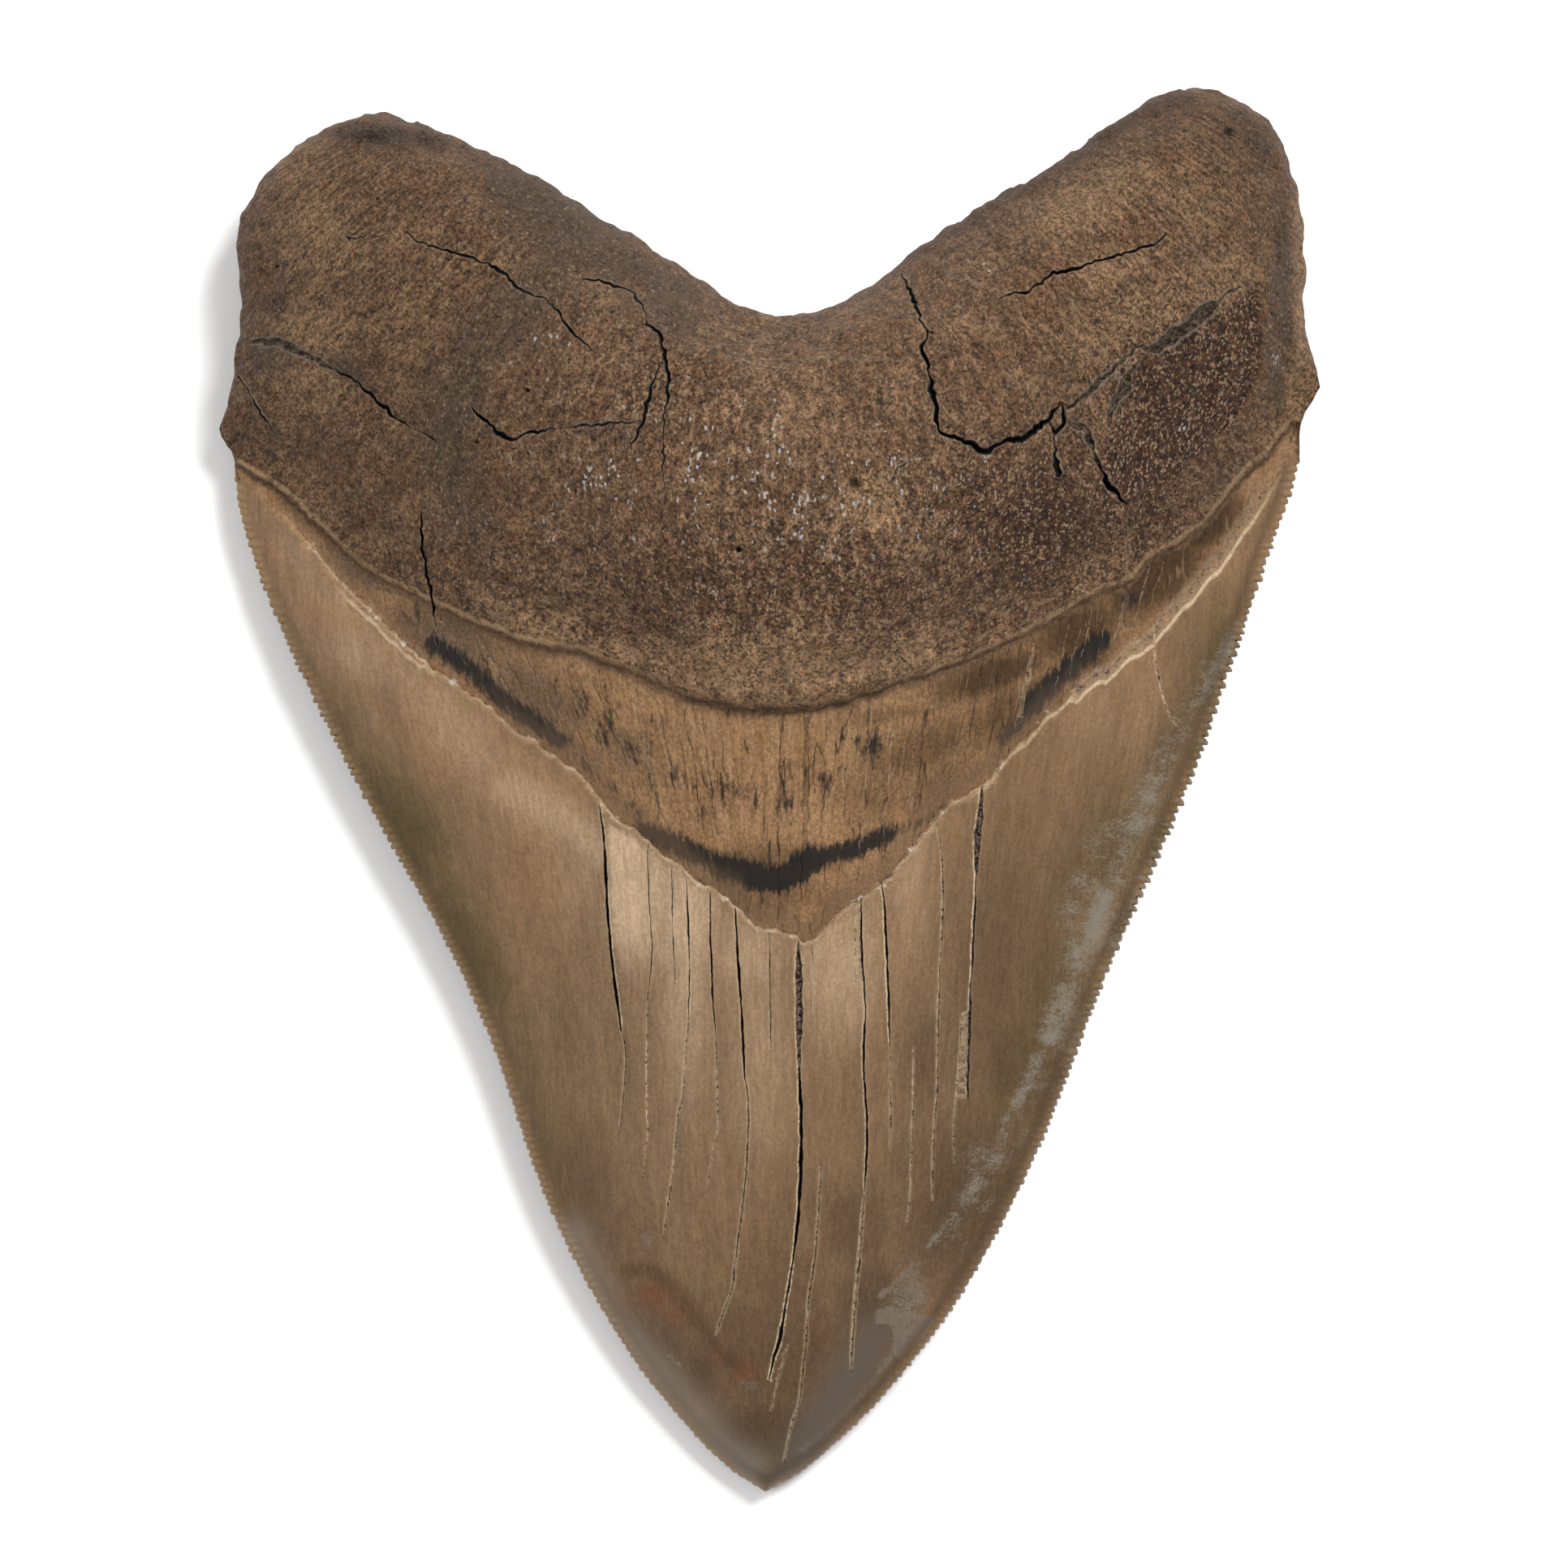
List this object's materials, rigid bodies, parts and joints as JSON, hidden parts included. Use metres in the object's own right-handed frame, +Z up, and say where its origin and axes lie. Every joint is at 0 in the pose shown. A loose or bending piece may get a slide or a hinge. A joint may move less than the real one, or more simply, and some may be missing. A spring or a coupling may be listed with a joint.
{
  "type": "megalodon tooth",
  "caption": "Large fossil shark tooth: triangular serrated crown with a raised enamel edge, and a thick cracked root with two rounded lobes.",
  "frame": {"origin": "on the surface that the tooth lies on, under the middle of its bounding box", "axes": "+Z up, out of the inner (lingual) face; +Y from the tip to the root; +X to the right, seen from above"},
  "size_m": [0.1146, 0.1458, 0.0298],
  "materials": {
    "fossil": "mineralised tooth: satin tan enamel and matt brown root"
  },
  "bodies": {
    "root": {"tooth": "fossil"}
  },
  "joints": []
}
